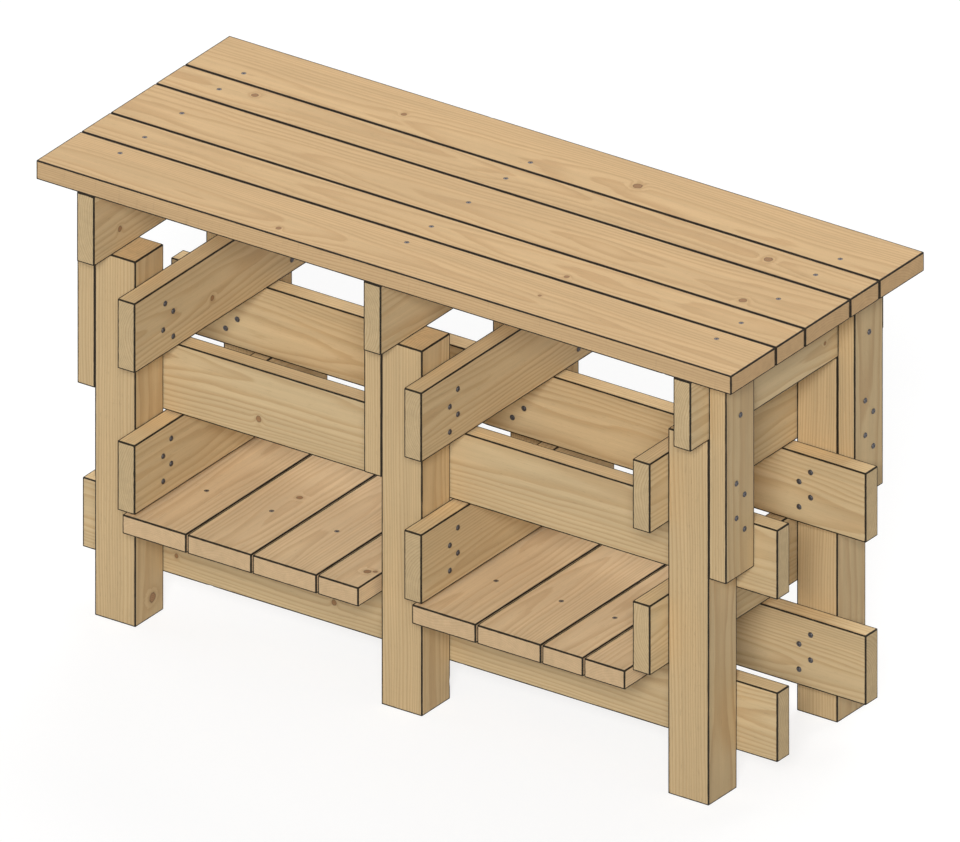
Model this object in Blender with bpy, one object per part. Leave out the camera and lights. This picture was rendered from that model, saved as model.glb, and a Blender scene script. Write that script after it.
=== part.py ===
"""A screwed softwood workbench: a slatted top on three leg frames, tied by long rails, with two low shelves.

Metres, +Z up, the front at -Y. The origin is on the floor, under the middle of the top.
"""

import math

import bmesh
import bpy

INCH = 0.0254

# Planed lumber sections
PLANK_THICKNESS = 1.5 * INCH
NARROW_PLANK = 3.5 * INCH
WIDE_PLANK = 5.5 * INCH
POST_SIDE = 3.5 * INCH
EDGE_RADIUS = 0.002
EDGE_STEPS = 3

# Outline of the bench
BENCH_LENGTH = 60 * INCH
BENCH_HEIGHT = 36 * INCH
TOP_GAP = 0.125 * INCH
TOP_PATTERN = (WIDE_PLANK, NARROW_PLANK, WIDE_PLANK, NARROW_PLANK, WIDE_PLANK)

# Leg frames
END_OVERHANG = 3.5 * INCH
LEG_SETBACK = 2.25 * INCH
SPLICE_LENGTH = 16.5 * INCH

# Rails and shelves, from the floor up
FLOOR_CLEARANCE = 3.0 * INCH
SHELF_GAP = 0.125 * INCH
SHELF_END_GAP = 0.125 * INCH
SHELF_TO_RAIL = 0.25 * INCH
RAIL_TO_RAIL = 0.125 * INCH

# All screws
SCREW_SIDES = 12
SHANK_RADIUS = 0.0022
TIP_LENGTH = 0.008
DRIVE_RADIUS = 0.0017
DRIVE_LOBE = 0.0003
DRIVE_DEPTH = 0.0018

# Countersunk screws that hold the top
TOP_SCREW_LENGTH = 3.0 * INCH
TOP_HEAD_RADIUS = 0.0043
TOP_HEAD_RIM = 0.0004
TOP_HEAD_ANGLE = math.radians(90)
TOP_HEAD_SINK = 0.0003
EDGE_BOARD_SCREW_INSET = 1.1875 * INCH

# Round-head screws that hold the splices to the bearers
SPLICE_SCREW_LENGTH = 2.5 * INCH
SPLICE_SCREW_DROP = 3.75 * INCH
ROUND_HEAD_RADIUS = 0.0055
ROUND_HEAD_RIM = 0.0009
ROUND_HEAD_HEIGHT = 0.0025
ROUND_HEAD_CROWN = 0.0042

# The gap left between pieces that touch
FIT = 0.0003

SMOOTH_ANGLE = math.radians(35)
HOLE_MOUTH = 0.01


def row_length(widths, gap):
    """The length of a row of boards laid side by side."""
    return sum(widths) + gap * (len(widths) - 1)


def row_centres(widths, gap):
    """The centre of each board in a row that is centred on zero."""
    centres = []
    edge = -row_length(widths, gap) / 2
    for width in widths:
        centres.append(edge + width / 2)
        edge += width + gap
    return centres


# Heights that follow from the sizes above
TOP_DEPTH = row_length(TOP_PATTERN, TOP_GAP)
TOP_UNDERSIDE = BENCH_HEIGHT - PLANK_THICKNESS
BEARER_TOP = TOP_UNDERSIDE - FIT
BEARER_BOTTOM = BEARER_TOP - WIDE_PLANK
LEG_LENGTH = BEARER_BOTTOM - FIT
SHELF_BOTTOM = FLOOR_CLEARANCE + WIDE_PLANK + FIT
LOWER_CROSS_BOTTOM = SHELF_BOTTOM + PLANK_THICKNESS + SHELF_TO_RAIL
UPPER_LONG_BOTTOM = LOWER_CROSS_BOTTOM + WIDE_PLANK + RAIL_TO_RAIL
UPPER_CROSS_BOTTOM = UPPER_LONG_BOTTOM + WIDE_PLANK + RAIL_TO_RAIL

# Places that follow from the sizes above
END_LEG_X = BENCH_LENGTH / 2 - END_OVERHANG - POST_SIDE / 2
LEG_Y = TOP_DEPTH / 2 - LEG_SETBACK - POST_SIDE / 2
BESIDE_POST = POST_SIDE / 2 + FIT + PLANK_THICKNESS / 2
LONG_RAIL_Y = LEG_Y - BESIDE_POST
BEARER_OFFSET = POST_SIDE / 2 - PLANK_THICKNESS / 2

# Each frame: its name, its middle along X, and the side that its bearer and splices are on
FRAMES = (("left", -END_LEG_X, -1), ("middle", 0.0, -1), ("right", END_LEG_X, 1))
ROWS = (("front", -1), ("back", 1))


def shelf_pattern(bay):
    """The mix of wide and narrow boards that fills a bay best, wide ones first."""
    room = bay - 2 * SHELF_END_GAP
    most = int(bay / min(WIDE_PLANK, NARROW_PLANK)) + 1
    best = [NARROW_PLANK]
    for wide in range(most):
        for narrow in range(most):
            widths = [WIDE_PLANK] * wide + [NARROW_PLANK] * narrow
            if row_length(best, SHELF_GAP) < row_length(widths, SHELF_GAP) <= room:
                best = widths
    return best


def clear_scene():
    for thing in list(bpy.data.objects):
        bpy.data.objects.remove(thing, do_unlink=True)


def make_material(name, colour, roughness, metallic=0.0):
    made = bpy.data.materials.new(name)
    made.use_nodes = True
    shader = made.node_tree.nodes["Principled BSDF"]
    shader.inputs["Base Color"].default_value = (*colour, 1.0)
    shader.inputs["Roughness"].default_value = roughness
    shader.inputs["Metallic"].default_value = metallic
    return made


def finished_mesh(name, shape):
    """The mesh of a finished bmesh, shaded smooth over its shallow angles."""
    bmesh.ops.recalc_face_normals(shape, faces=shape.faces)
    mesh = bpy.data.meshes.new(name)
    shape.to_mesh(mesh)
    shape.free()
    mesh.shade_smooth()
    mesh.set_sharp_from_angle(angle=SMOOTH_ANGLE)
    return mesh


def lumber_mesh(name, size, grain):
    """A planed piece round its own middle, with its edges eased along the grain axis."""
    shape = bmesh.new()
    bmesh.ops.create_cube(shape, size=1.0)
    bmesh.ops.scale(shape, vec=size, verts=shape.verts)
    long_edges = []
    for edge in shape.edges:
        run = edge.verts[1].co - edge.verts[0].co
        if abs(run[grain]) > 0.5 * run.length:
            long_edges.append(edge)
    bmesh.ops.bevel(
        shape,
        geom=long_edges,
        offset=EDGE_RADIUS,
        segments=EDGE_STEPS,
        profile=0.5,
        affect="EDGES",
    )
    return finished_mesh(name, shape)


def turned_mesh(name, profile):
    """A solid turned round Z, from a list of (radius, lobe, height) rings between two points on the axis."""
    shape = bmesh.new()
    rings = []
    for radius, lobe, height in profile:
        if radius == 0:
            rings.append([shape.verts.new((0, 0, height))])
            continue
        ring = []
        for side in range(SCREW_SIDES):
            turn = 2 * math.pi * side / SCREW_SIDES
            reach = radius + lobe * (-1) ** side
            ring.append(shape.verts.new((reach * math.cos(turn), reach * math.sin(turn), height)))
        rings.append(ring)
    for lower, upper in zip(rings, rings[1:]):
        for side in range(SCREW_SIDES):
            after = (side + 1) % SCREW_SIDES
            corners = [lower[side % len(lower)], lower[after % len(lower)]]
            corners += [upper[after % len(upper)], upper[side % len(upper)]]
            shape.faces.new(list(dict.fromkeys(corners)))
    return finished_mesh(name, shape)


def shank_rings(tip, clearance):
    """The point of a screw and the start of its shank, grown by a clearance."""
    return [(0.0, 0.0, tip - clearance), (SHANK_RADIUS + clearance, 0.0, tip + TIP_LENGTH)]


def drive_rings(top):
    """A six-lobe recess in the top of a head."""
    bottom = top - DRIVE_DEPTH
    return [(DRIVE_RADIUS, DRIVE_LOBE, top), (DRIVE_RADIUS, DRIVE_LOBE, bottom), (0.0, 0.0, bottom)]


def countersunk_rings(clearance):
    """A countersunk screw from its point up to the head's rim, with zero at the board's face."""
    cone_top = -TOP_HEAD_SINK - TOP_HEAD_RIM
    cone_height = (TOP_HEAD_RADIUS - SHANK_RADIUS) / math.tan(TOP_HEAD_ANGLE / 2)
    neck = (SHANK_RADIUS + clearance, 0.0, cone_top - cone_height)
    seat = (TOP_HEAD_RADIUS + clearance, 0.0, cone_top)
    return shank_rings(-TOP_HEAD_SINK - TOP_SCREW_LENGTH, clearance) + [neck, seat]


def countersunk_screw_mesh():
    rim = [(TOP_HEAD_RADIUS, 0.0, -TOP_HEAD_SINK)]
    return turned_mesh("top_screw", countersunk_rings(0.0) + rim + drive_rings(-TOP_HEAD_SINK))


def countersunk_hole_mesh():
    mouth = [(TOP_HEAD_RADIUS + FIT, 0.0, HOLE_MOUTH), (0.0, 0.0, HOLE_MOUTH)]
    return turned_mesh("top_screw_hole", countersunk_rings(FIT) + mouth)


def round_head_screw_mesh():
    """A screw whose crowned head stands on the face that it is driven into."""
    head = [
        (SHANK_RADIUS, 0.0, FIT),
        (ROUND_HEAD_RADIUS, 0.0, FIT),
        (ROUND_HEAD_RADIUS, 0.0, FIT + ROUND_HEAD_RIM),
        (ROUND_HEAD_CROWN, 0.0, FIT + (ROUND_HEAD_RIM + 2 * ROUND_HEAD_HEIGHT) / 3),
    ]
    drive = drive_rings(FIT + ROUND_HEAD_HEIGHT)
    return turned_mesh("splice_screw", shank_rings(-SPLICE_SCREW_LENGTH, 0.0) + head + drive)


def round_head_hole_mesh():
    mouth = [(SHANK_RADIUS + FIT, 0.0, HOLE_MOUTH), (0.0, 0.0, HOLE_MOUTH)]
    return turned_mesh("splice_screw_hole", shank_rings(-SPLICE_SCREW_LENGTH, FIT) + mouth)


def place(name, mesh, parent, location, material):
    made = bpy.data.objects.new(name, mesh)
    made.parent = parent
    made.location = location
    if material:
        made.active_material = material
    bpy.context.scene.collection.objects.link(made)
    return made


def place_empty(name, location, parent=None):
    return place(name, None, parent, location, None)


def cut_screw_holes(piece, holes):
    cut = piece.modifiers.new("screw_holes", "BOOLEAN")
    cut.operation = "DIFFERENCE"
    cut.solver = "EXACT"
    cut.operand_type = "COLLECTION"
    cut.collection = holes


def add_top(bench, wood, holes):
    """The boards of the worktop, along X, numbered from the front."""
    height = TOP_UNDERSIDE + PLANK_THICKNESS / 2
    for number, (width, y) in enumerate(zip(TOP_PATTERN, row_centres(TOP_PATTERN, TOP_GAP)), 1):
        name = f"top_board_{number}"
        mesh = lumber_mesh(name, (BENCH_LENGTH, width, PLANK_THICKNESS), 0)
        board = place(name, mesh, bench, (0, y, height), wood)
        cut_screw_holes(board, holes)


def add_frame(bench, name, x, outward, post_wood, wood, meshes, holes):
    """Two legs with their splices, the bearer on top of them and the two cross rails on their inner side."""
    frame = place_empty(f"frame_{name}", (x, 0, 0), bench)
    bearer_x = outward * BEARER_OFFSET
    bearer_place = (bearer_x, 0, BEARER_BOTTOM + WIDE_PLANK / 2)
    bearer = place(f"bearer_{name}", meshes["bearer"], frame, bearer_place, wood)
    cut_screw_holes(bearer, holes)
    for row, side in ROWS:
        y = side * LEG_Y
        place(f"leg_{name}_{row}", meshes["leg"], frame, (0, y, LEG_LENGTH / 2), post_wood)
        splice_place = (outward * BESIDE_POST, y, BEARER_TOP - SPLICE_LENGTH / 2)
        splice = place(f"splice_{name}_{row}", meshes["splice"], frame, splice_place, wood)
        cut_screw_holes(splice, holes)
    for level, bottom in (("lower", LOWER_CROSS_BOTTOM), ("upper", UPPER_CROSS_BOTTOM)):
        rail_place = (-outward * BESIDE_POST, 0, bottom + WIDE_PLANK / 2)
        place(f"cross_rail_{name}_{level}", meshes["cross_rail"], frame, rail_place, wood)


def add_long_rails(bench, wood):
    """Four rails along X, on the inner faces of the front and back legs."""
    mesh = lumber_mesh("long_rail", (BENCH_LENGTH, PLANK_THICKNESS, WIDE_PLANK), 0)
    for level, bottom in (("lower", FLOOR_CLEARANCE), ("upper", UPPER_LONG_BOTTOM)):
        for row, side in ROWS:
            rail_place = (0, side * LONG_RAIL_Y, bottom + WIDE_PLANK / 2)
            place(f"long_rail_{row}_{level}", mesh, bench, rail_place, wood)


def add_shelf(bench, name, start, end, wood):
    """Boards along Y on the lower long rails, centred in the bay from start to end."""
    shelf = place_empty(f"shelf_{name}", ((start + end) / 2, 0, 0), bench)
    widths = shelf_pattern(end - start)
    height = SHELF_BOTTOM + PLANK_THICKNESS / 2
    for number, (width, x) in enumerate(zip(widths, row_centres(widths, SHELF_GAP)), 1):
        board_name = f"shelf_board_{name}_{number}"
        mesh = lumber_mesh(board_name, (width, TOP_DEPTH, PLANK_THICKNESS), 1)
        place(board_name, mesh, shelf, (x, 0, height), wood)


def screw_rows():
    """Where the top's screws stand along Y: the edge boards' nearer to their inner edges, the rest on centre."""
    centres = row_centres(TOP_PATTERN, TOP_GAP)
    inward = TOP_PATTERN[0] / 2 - EDGE_BOARD_SCREW_INSET
    return [centres[0] + inward, *centres[1:-1], centres[-1] - inward]


def add_screw(name, screw, hole, bench, spot, turn, steel, holes):
    """A screw with its head at the spot, turned about Y from upright, and the cutter of its hole."""
    made = place(name, screw, bench, spot, steel)
    made.rotation_euler.y = turn
    cutter = place(f"{name}_hole", hole, bench, spot, None)
    cutter.rotation_euler.y = turn
    cutter.hide_render = True
    cutter.display_type = "WIRE"
    bpy.context.scene.collection.objects.unlink(cutter)
    holes.objects.link(cutter)


def add_top_screws(bench, steel, holes):
    """One screw down through each top board into each bearer."""
    screw = countersunk_screw_mesh()
    hole = countersunk_hole_mesh()
    for name, x, outward in FRAMES:
        for number, y in enumerate(screw_rows(), 1):
            spot = (x + outward * BEARER_OFFSET, y, BENCH_HEIGHT)
            add_screw(f"top_screw_{name}_{number}", screw, hole, bench, spot, 0.0, steel, holes)


def add_splice_screws(bench, steel, holes):
    """One screw through each splice into its bearer, driven from the splice's outer face."""
    screw = round_head_screw_mesh()
    hole = round_head_hole_mesh()
    for name, x, outward in FRAMES:
        for row, side in ROWS:
            face = x + outward * (BESIDE_POST + PLANK_THICKNESS / 2)
            spot = (face, side * LEG_Y, BEARER_TOP - SPLICE_SCREW_DROP)
            turn = outward * math.pi / 2
            add_screw(f"splice_screw_{name}_{row}", screw, hole, bench, spot, turn, steel, holes)


def build():
    clear_scene()
    holes = bpy.data.collections.new("screw_holes")
    bpy.context.scene.collection.children.link(holes)
    top_wood = make_material("worktop_softwood", (0.63, 0.43, 0.24), 0.62)
    post_wood = make_material("leg_softwood", (0.61, 0.42, 0.23), 0.70)
    frame_wood = make_material("frame_softwood", (0.60, 0.41, 0.23), 0.68)
    shelf_wood = make_material("shelf_softwood", (0.62, 0.43, 0.24), 0.66)
    steel = make_material("screw_steel", (0.13, 0.12, 0.11), 0.38, 1.0)

    bench = place_empty("workbench", (0, 0, 0))
    add_top(bench, top_wood, holes)
    meshes = {
        "bearer": lumber_mesh("bearer", (PLANK_THICKNESS, TOP_DEPTH, WIDE_PLANK), 1),
        "leg": lumber_mesh("leg", (POST_SIDE, POST_SIDE, LEG_LENGTH), 2),
        "splice": lumber_mesh("splice", (PLANK_THICKNESS, NARROW_PLANK, SPLICE_LENGTH), 2),
        "cross_rail": lumber_mesh("cross_rail", (PLANK_THICKNESS, TOP_DEPTH, WIDE_PLANK), 1),
    }
    for name, x, outward in FRAMES:
        add_frame(bench, name, x, outward, post_wood, frame_wood, meshes, holes)
    add_long_rails(bench, frame_wood)

    # The left bay ends at the legs' faces, and the right one at the right frame's cross rails
    half_post = POST_SIDE / 2
    add_shelf(bench, "left", -END_LEG_X + half_post, -half_post, shelf_wood)
    add_shelf(bench, "right", half_post, END_LEG_X - half_post - PLANK_THICKNESS, shelf_wood)
    add_top_screws(bench, steel, holes)
    add_splice_screws(bench, steel, holes)


build()
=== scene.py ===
"""The looks of the workbench: planed softwood boards and posts, with their grain, knots, sawn ends and dark
arrises, and the dark steel screws that hold them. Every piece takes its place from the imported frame.
"""
import math
import random

import bmesh
import bpy
from mathutils import Euler, Matrix, Vector, noise


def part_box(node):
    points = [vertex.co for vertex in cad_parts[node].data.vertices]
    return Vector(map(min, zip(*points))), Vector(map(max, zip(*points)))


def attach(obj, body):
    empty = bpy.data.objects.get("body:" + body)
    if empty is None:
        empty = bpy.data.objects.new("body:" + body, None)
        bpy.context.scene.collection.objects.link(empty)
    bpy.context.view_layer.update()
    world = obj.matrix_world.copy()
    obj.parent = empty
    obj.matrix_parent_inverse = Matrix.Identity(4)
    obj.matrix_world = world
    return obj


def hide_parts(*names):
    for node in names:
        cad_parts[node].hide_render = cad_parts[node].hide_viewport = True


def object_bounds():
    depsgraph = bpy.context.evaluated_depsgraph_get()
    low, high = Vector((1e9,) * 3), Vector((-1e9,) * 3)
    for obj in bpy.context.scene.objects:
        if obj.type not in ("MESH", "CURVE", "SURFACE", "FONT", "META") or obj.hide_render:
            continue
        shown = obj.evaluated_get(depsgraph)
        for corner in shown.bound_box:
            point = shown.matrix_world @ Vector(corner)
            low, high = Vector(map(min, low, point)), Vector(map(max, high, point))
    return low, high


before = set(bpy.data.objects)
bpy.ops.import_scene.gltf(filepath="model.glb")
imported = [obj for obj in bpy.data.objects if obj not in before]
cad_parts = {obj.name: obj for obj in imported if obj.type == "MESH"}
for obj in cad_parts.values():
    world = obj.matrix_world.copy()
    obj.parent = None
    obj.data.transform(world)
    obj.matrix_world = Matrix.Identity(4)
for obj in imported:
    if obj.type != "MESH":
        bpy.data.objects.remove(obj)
CAD_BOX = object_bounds()

INCH = 0.0254
SEED = 60
X_AXIS = Vector((1, 0, 0))
Y_AXIS = Vector((0, 1, 0))
Z_AXIS = Vector((0, 0, 1))

# The pieces, as the frame names them. Each frame has the X side that its splices look to, and each row the Y
# side that lies inward.
FRAME_SIDES = (("left", -1), ("middle", -1), ("right", 1))
ROW_SIDES = (("front", 1), ("back", -1))
LEVELS = ("lower", "upper")
TOP_BOARDS = range(1, 6)
SHELF_SIDES = ("left", "right")
SHELF_BOARDS = range(1, 5)

# Lumber, in metres. Sizes that agree to so many decimal places count as one. A section has four quarters,
# counted round from below, and its points that look up by more than NEARLY_FLAT lie on the upper side.
SIZE_DIGITS = 4
ARRIS_RADIUS = 0.0008
ARRIS_STEPS = 4
ARRIS_FADE = 0.0030
END_CHAMFER = 0.0009
STATION_STEP = 0.045
FACE_STEP = 0.028
BOARD_SMOOTHING = math.radians(38)
UPPER_QUARTER = 2
NEARLY_FLAT = 0.99

# The hollows that drying leaves: their depth, and how many there are to the metre from a start of its own
HOLLOW = 0.00025
HOLLOWS_ALONG = 4
HOLLOWS_ACROSS = 11
HOLLOW_STARTS = 100

# Knocks on the long arrises. Each has stations at these shares of its length, and no others within reach.
DENT_SPACING = 0.4
DENT_CLEARANCE = 0.03
DENT_LENGTH = (0.003, 0.008)
DENT_DEPTH = (0.0004, 0.0011)
DENT_STATIONS = (-1.5, -0.75, 0, 0.75, 1.5)
DENT_REACH = 1.6

# The tree: where its pith runs from a board, and its branches. A knot is aimed at a place within these
# shares of the board's half sizes, and has its radius there.
GRAIN_STARTS = 20
PITH_DISTANCE = (0.055, 0.13)
PITH_ASIDE = 0.3
KNOTS = 2
KNOT_SPACING = 0.9
KNOT_REACH = (0.9, 0.8, 0.5)
KNOT_RADIUS = (0.0035, 0.0075)
KNOT_CLEARANCE = 0.045

# Tones: each step lightens the wood by TONE_SHADE. A board draws its own from the spread. The others are
# added to some sides, to keep the drawing's contrast there, as painted light and shade: painted shade on the
# long edges of the worktop's boards, painted light on the long edges of the rails, their tops and bottoms,
# and painted shade on the sides of the right frame's legs and splices that face left and right.
TONE_SHADE = 0.025
TONE_SPREAD = 1.0
TOP_EDGE_PAINTED_SHADE = -4.6
RAIL_EDGE_PAINTED_LIGHT = 12.0
OUTER_SIDE_PAINTED_SHADE = -4.0

# Wood colours: the pale early part and the dark late part of a ring
TOP_EARLY = (0.690, 0.474, 0.254, 1.0)
TOP_LATE = (0.520, 0.312, 0.148, 1.0)
# The shelf's colours are paler than the worktop's: painted light against the shade that the worktop casts
# over the shelves
SHELF_EARLY = (0.770, 0.580, 0.355, 1.0)
SHELF_LATE = (0.600, 0.400, 0.215, 1.0)
FRAME_EARLY = (0.610, 0.464, 0.264, 1.0)
FRAME_LATE = (0.466, 0.306, 0.152, 1.0)
# The legs' and splices' colours are a darker, warmer copy of the frame's: painted shade where the key light
# falls on them
LEG_EARLY = (0.592, 0.438, 0.242, 1.0)
LEG_LATE = (0.452, 0.289, 0.139, 1.0)
KNOT_PALE = (0.36, 0.19, 0.085, 1.0)
KNOT_DARK = (0.24, 0.115, 0.05, 1.0)
KNOT_RIM = (0.11, 0.055, 0.028, 1.0)
# The near-black of the arrises and screw holes: painted dark outlines along the arrises, and painted shade
# in the gaps between boards and in the holes
ARRIS_COLOUR = (0.014, 0.012, 0.009, 1.0)

# Features of the wood, as how many there are to the metre along the grain, across it and through the board
BLOTCHES = (2.2, 11, 11)
STREAKS = (2.2, 70, 70)
FIBRES = (9, 420, 420)
FLECKS = (55, 1500, 1500)
PATCHES = (28, 90, 90)
SCRATCHES = (7, 900, 900)
SAW_MARKS = (0, 60, 1300)
RING_DRIFTS = (1.3, 7, 7)
RING_SHIVERS = (14, 110, 110)
RING_PACES = (32, 1, 1)
KNOT_RAGS = (160, 160, 160)

# Rings: how far they wander, taper and shiver in metres, how many their uneven pace adds, and the shares
# of a ring over which the late part comes and goes
RING_DRIFT = 0.030
RING_TAPER = 0.010
RING_SHIVER = 0.0013
RING_PACE = 3.0
LATE_COMES = (0.30, 0.88)
LATE_GOES = (0.90, 1.0)

# Knots, with places as shares of a knot's radius: how far they push the rings, and how they are drawn
KNOT_LEAST = 0.00001
KNOT_RAGGED = 0.22
KNOT_PUSH = 1.1
KNOT_PUSH_FADE = -0.28
KNOT_BODY = (0.86, 1.02)
KNOT_BODY_DEPTH = 0.85
KNOT_RIM_COMES = (0.80, 0.98)
KNOT_RIM_GOES = (1.0, 1.22)
KNOT_RIM_DEPTH = 0.65
KNOT_HALO = (0.9, 2.6)
KNOT_HALO_DEPTH = 0.30
KNOT_RINGS = 17.0

# Where the noise of a feature starts to show and shows in full. Patches add to the dark of an arris, and two
# sets of scratches are turned from the grain, in radians.
FLECK_RANGE = (0.74, 0.82)
SCRATCH_RANGE = (0.70, 0.76)
ARRIS_RANGE = (0.48, 0.70)
ARRIS_PATCH = 0.4
SCRATCH_TURNS = (0.5, 1.9)

# What the features do to the colour, as shares of it, and blotches to the depth of the rings
RING_SPREAD = 0.5
BLOTCH_SHADE = 0.10
STREAK_SHADE = 0.13
FIBRE_SHADE = 0.10
FLECK_SHADE = -0.22
SCRATCH_SHADE = -0.16
ARRIS_DARKNESS = 0.975

# What they do to the roughness and the relief
WOOD_ROUGHNESS = 0.50
FIBRE_ROUGHNESS = 0.22
RING_ROUGHNESS = -0.06
SAWN_ROUGHNESS = 0.14
KNOT_ROUGHNESS = -0.14
WOOD_SPECULAR = 0.14
WOOD_RELIEF = 0.00022
RING_HEIGHT = 0.35
SAW_MARK_HEIGHT = 0.9
FLECK_HEIGHT = -0.5
SCRATCH_HEIGHT = -0.8

# Dark steel, with a coat that wears off to the bare metal
COAT_DARK = (0.082, 0.078, 0.082, 1.0)
COAT_PALE = (0.130, 0.124, 0.128, 1.0)
BARE_STEEL = (0.31, 0.285, 0.285, 1.0)
MOTTLES = (700, 700, 700)
GRITS = (4200, 4200, 4200)
MOTTLE_RUB = 0.6
RUB_RANGE = (0.95, 1.55)
GRIT_SHADE = 0.18
STEEL_ROUGHNESS = 0.36
GRIT_ROUGHNESS = 0.30
RUBBED_ROUGHNESS = -0.04
GRIT_RELIEF = 0.00008
STEEL_METALLIC = 0.85

# Screws
SCREW_SIDES = 24
SCREW_SMOOTHING = math.radians(40)
SHANK_RADIUS = 0.0022
TIP_LENGTH = 0.008
DRIVE_RADIUS = 0.00165
DRIVE_BEVEL = 0.0002
DRIVE_LOBE = 0.0003
DRIVE_LOBES = 6
DRIVE_DEPTH = 0.0014
DRIVE_TAPER = 0.93
DRIVE_POINT = 1.15
DRIVE_LAND = 0.0007
HEAD_GAP = 0.0003
FLAT_HEAD_RADIUS = 0.0043
FLAT_HEAD_SINK = 0.0003
FLAT_HEAD_RIM = 0.0004
FLAT_HEAD_SEAT_BEVEL = 0.0001
FLAT_HEAD_TOP_BEVEL = 0.00015
FLAT_HEAD_LAND = 0.0007
ROUND_HEAD_RADIUS = 0.0055
ROUND_HEAD_HEIGHT = 0.0025
ROUND_HEAD_RIM = 0.0008
ROUND_HEAD_BEVEL = 0.0002
DOME_INSET = 0.0008
DOME_START = 0.0009
DOME_STEPS = 5
TOP_SCREW_LENGTH = 3.0 * INCH
SIDE_SCREW_LENGTH = 2.5 * INCH

# The countersunk hole in a board's face, with its walls near-black as painted shade and a ring round it
# where that dark fades out, and the cell of the face that it takes up
HOLE_CELL = 0.009
HOLE_SIDES = 24
HOLE_DEPTH = 0.012
HOLE_BEVEL = 0.0003
HOLE_DARK_FADE = 0.0010
HOLE_FADE_DARKNESS = 0.1
FIRST_CORNER_TURN = -0.75 * math.pi

# Screw patterns in inches, from a leg's low corner across and from the rail's or splice's lower edge up. One
# crossing, at the front of the upper left cross rail, has its screws askew.
CROSS_PATTERNS = {
    "upper": ((1.25, 1), (2.25, 2), (1.25, 3), (2.25, 4)),
    "lower": ((1.25, 1.25), (2.25, 2.25), (1.25, 3.25), (2.25, 4.25)),
}
STRAY_CROSSING = ("left", "upper", "front")
STRAY_PATTERN = ((2.5, 1), (1.25, 2), (2.5, 3), (1.5, 4))
LONG_RAIL_PATTERN = ((1.25, 1.25), (2.25, 2.25), (1.25, 3.25), (2.25, 4.25))
SPLICE_PATTERN = ((2.25, 3.5), (1.25, 4.75), (2.25, 6.25), (1.25, 7.5))

# The view: a parallel projection from the front, the right and above
VIEW_AZIMUTH = math.radians(34.78329)
VIEW_ELEVATION = math.radians(26.62353)
VIEW_WIDTH = 1.72913
VIEW_AIM = Vector((-0.02754, 0.03909, 0.4572))
VIEW_DISTANCE = 6.0
VIEW_END = 100

# Light and floor
WHITE = (1.0, 1.0, 1.0, 1.0)
AMBIENT = 0.17
KEY_STRENGTH = 2.49
KEY_AZIMUTH = math.radians(31)
KEY_ELEVATION = math.radians(28)
KEY_SOFTNESS = math.radians(16)
BACK_STRENGTH = 1.75
BACK_AZIMUTH = math.radians(190)
BACK_ELEVATION = math.radians(35)
BACK_SOFTNESS = math.radians(50)
LEFT_STRENGTH = 0.9
LEFT_AZIMUTH = math.radians(264)
LEFT_ELEVATION = math.radians(20)
LEFT_SOFTNESS = math.radians(60)
FLOOR_REACH = 9.0
FLOOR_SIDES = 64
FLOOR_COLOUR = 0.60
FLOOR_SEEN_COLOUR = 0.30
FLOOR_GLOW = 0.775


def places(start, end, step, pairs=()):
    """Places from start to end, about a step apart, with each (low, high) pair's ends and none between."""
    result = [start]
    for low, high in [*sorted(pairs), (end, end)]:
        span = low - result[-1]
        if span <= 0:
            continue
        count = max(1, round(span / step))
        first = result[-1]
        result += [first + span * index / count for index in range(1, count + 1)]
        if high > low:
            result.append(high)
    return result


class Board:
    """A piece of lumber in its own frame: u along the grain, v across its wider side and w through it."""

    def __init__(self, node, holes=(), heads=()):
        self.chance = random.Random(f"{SEED} {node}")
        low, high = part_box(node)
        size = high - low
        self.centre = (low + high) / 2
        # Sides of one size rank by axis, so that a square post lies the same way whatever its last digits
        self.axes = sorted(range(3), key=lambda axis: (-round(size[axis], SIZE_DIGITS), -axis))
        self.half = [size[axis] / 2 for axis in self.axes]
        self.holes = [self.local(hole)[:2] for hole in holes]
        self.screwed = [self.local(spot)[0] for spot in [*holes, *heads]]
        self.points = []
        self.faces = []
        self.marks = []

    def local(self, point):
        return [point[axis] - self.centre[axis] for axis in self.axes]

    def world(self, u, v, w):
        point = self.centre.copy()
        for axis, value in zip(self.axes, (u, v, w)):
            point[axis] += value
        return point

    def add_point(self, u, v, w, dark=0.0, sawn=0.0, narrow=0.0):
        """Adds a point, marked from 0 to 1 as on a dark arris, on a sawn end and on a narrow side."""
        self.points.append((u, v, w))
        self.marks.append((dark, sawn, narrow))
        return len(self.points) - 1


def side_places(half, pairs=()):
    """Places across a flat side between its arrises, with one more near each for the dark to fade out."""
    inner = half - ARRIS_RADIUS
    between = places(ARRIS_FADE - inner, inner - ARRIS_FADE, FACE_STEP, pairs)
    return [-inner, *between, inner]


def section(board):
    """The outline across the grain: (v, w, outward v, outward w, dark, corner) all round, from below."""
    _, half_v, half_w = board.half
    pairs = [(-v - HOLE_CELL, HOLE_CELL - v) for _, v in board.holes]
    ring = []
    for quarter in range(4):
        turn = quarter * math.pi / 2
        out = Vector((math.sin(turn), -math.cos(turn)))
        along = Vector((math.cos(turn), math.sin(turn)))
        reach, half = (half_w, half_v) if quarter % 2 == 0 else (half_v, half_w)
        spots = side_places(half, pairs if quarter == UPPER_QUARTER else ())
        for number, spot in enumerate(spots):
            at_arris = number in (0, len(spots) - 1)
            place = out * reach + along * spot
            ring.append((*place, *out, 1.0 if at_arris else 0.0, quarter - (spot < 0)))
        middle = out * (reach - ARRIS_RADIUS) + along * (half - ARRIS_RADIUS)
        for step in range(1, ARRIS_STEPS):
            bend = math.pi / 2 * step / ARRIS_STEPS
            away = out * math.cos(bend) + along * math.sin(bend)
            ring.append((*(middle + away * ARRIS_RADIUS), *away, 1.0, quarter))
    return ring


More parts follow.
